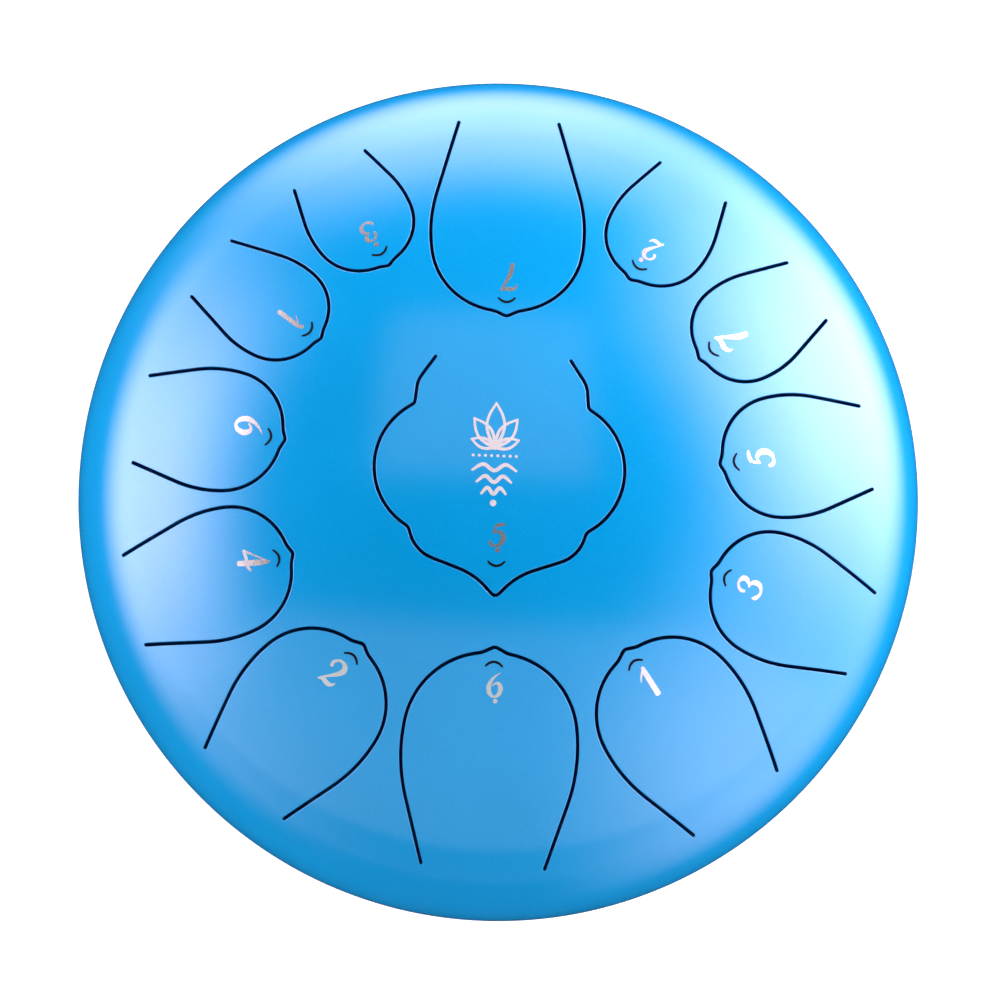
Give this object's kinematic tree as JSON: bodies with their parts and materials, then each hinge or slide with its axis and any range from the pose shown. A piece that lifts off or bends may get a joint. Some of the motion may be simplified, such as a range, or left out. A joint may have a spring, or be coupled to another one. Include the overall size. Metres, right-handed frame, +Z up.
{
  "type": "steel tongue drum",
  "caption": "Low dome-shaped steel tongue drum with sprung tongues cut in its upper shell, a petalled sound hole below and screwed rubber feet.",
  "frame": {"origin": "on the ground under the middle of the drum", "axes": "+Z up along the drum's axis, -Y towards the player, so +Y points to the far note low 7 and +X to the player's right"},
  "size_m": [0.3, 0.3, 0.1676],
  "materials": {
    "azure_paint": "azure metallic lacquer with a fine pearl grain under clear coat",
    "foot_rubber": "matt black moulded rubber",
    "zinc_steel": "bright zinc plate",
    "silver_foil": "mirror-like foil of the note numerals and the ornament",
    "black_ink": "thin black print"
  },
  "bodies": {
    "drum": {"upper_shell": "azure_paint", "lower_shell": "azure_paint", "girth_weld": "azure_paint", "rubber_foot_1": "foot_rubber", "foot_washer_1": "zinc_steel", "foot_screw_1": "zinc_steel", "rivet_nut_1": "zinc_steel", "rubber_foot_2": "foot_rubber", "foot_washer_2": "zinc_steel", "foot_screw_2": "zinc_steel", "rivet_nut_2": "zinc_steel", "rubber_foot_3": "foot_rubber", "foot_washer_3": "zinc_steel", "foot_screw_3": "zinc_steel", "rivet_nut_3": "zinc_steel", "rubber_foot_4": "foot_rubber", "foot_washer_4": "zinc_steel", "foot_screw_4": "zinc_steel", "rivet_nut_4": "zinc_steel"},
    "note_low_6": {"tongue_low_6": "azure_paint"},
    "note_low_7": {"tongue_low_7": "azure_paint"},
    "note_1": {"tongue_1": "azure_paint"},
    "note_2": {"tongue_2": "azure_paint"},
    "note_3": {"tongue_3": "azure_paint"},
    "note_4": {"tongue_4": "azure_paint"},
    "note_5": {"tongue_5": "azure_paint"},
    "note_6": {"tongue_6": "azure_paint"},
    "note_7": {"tongue_7": "azure_paint"},
    "note_high_1": {"tongue_high_1": "azure_paint"},
    "note_high_2": {"tongue_high_2": "azure_paint"},
    "note_high_3": {"tongue_high_3": "azure_paint"},
    "note_low_5": {"tongue_low_5": "azure_paint"}
  },
  "joints": [
    {"name": "flex_low_6", "type": "hinge", "parent": "drum", "child": "note_low_6", "pos_m": [-0.00137, -0.13069, 0.12799], "axis": [-0.9998, 0.0175, 0], "range_deg": [-0.38, 0.38], "stiffness_Nm_per_rad": 43},
    {"name": "flex_low_7", "type": "hinge", "parent": "drum", "child": "note_low_7", "pos_m": [-0.00136, 0.12949, 0.12929], "axis": [0.9998, 0.0175, 0], "range_deg": [-0.4, 0.4], "stiffness_Nm_per_rad": 35},
    {"name": "flex_1", "type": "hinge", "parent": "drum", "child": "note_1", "pos_m": [0.08581, -0.10577, 0.12285], "axis": [-0.77, -0.6381, 0], "range_deg": [-0.44, 0.44], "stiffness_Nm_per_rad": 28},
    {"name": "flex_2", "type": "hinge", "parent": "drum", "child": "note_2", "pos_m": [-0.08511, -0.10492, 0.12407], "axis": [-0.7688, 0.6394, 0], "range_deg": [-0.46, 0.46], "stiffness_Nm_per_rad": 24},
    {"name": "flex_3", "type": "hinge", "parent": "drum", "child": "note_3", "pos_m": [0.12754, -0.04516, 0.12416], "axis": [-0.3123, -0.95, 0], "range_deg": [-0.5, 0.5], "stiffness_Nm_per_rad": 16},
    {"name": "flex_4", "type": "hinge", "parent": "drum", "child": "note_4", "pos_m": [-0.12575, -0.04269, 0.12658], "axis": [-0.2815, 0.9596, 0], "range_deg": [-0.49, 0.49], "stiffness_Nm_per_rad": 16},
    {"name": "flex_5", "type": "hinge", "parent": "drum", "child": "note_5", "pos_m": [0.12712, 0.01945, 0.13016], "axis": [0.1874, -0.9823, 0], "range_deg": [-0.54, 0.54], "stiffness_Nm_per_rad": 11},
    {"name": "flex_6", "type": "hinge", "parent": "drum", "child": "note_6", "pos_m": [-0.12568, 0.02024, 0.13104], "axis": [0.1487, 0.9889, 0], "range_deg": [-0.55, 0.55], "stiffness_Nm_per_rad": 10},
    {"name": "flex_7", "type": "hinge", "parent": "drum", "child": "note_7", "pos_m": [0.10479, 0.07351, 0.13072], "axis": [0.5871, -0.8095, 0], "range_deg": [-0.61, 0.61], "stiffness_Nm_per_rad": 6.7},
    {"name": "flex_high_1", "type": "hinge", "parent": "drum", "child": "note_high_1", "pos_m": [-0.10341, 0.0739, 0.13135], "axis": [0.5424, 0.8401, 0], "range_deg": [-0.6, 0.6], "stiffness_Nm_per_rad": 6.8},
    {"name": "flex_high_2", "type": "hinge", "parent": "drum", "child": "note_high_2", "pos_m": [0.0638, 0.11051, 0.13095], "axis": [0.8686, -0.4955, 0], "range_deg": [-0.65, 0.65], "stiffness_Nm_per_rad": 5.3},
    {"name": "flex_high_3", "type": "hinge", "parent": "drum", "child": "note_high_3", "pos_m": [-0.06355, 0.11007, 0.13125], "axis": [0.848, 0.5299, 0], "range_deg": [-0.68, 0.68], "stiffness_Nm_per_rad": 4.7},
    {"name": "flex_low_5", "type": "hinge", "parent": "drum", "child": "note_low_5", "pos_m": [-0.0007, 0.0424, 0.16222], "axis": [1, 0, 0], "range_deg": [-0.35, 0.35], "stiffness_Nm_per_rad": 48}
  ]
}
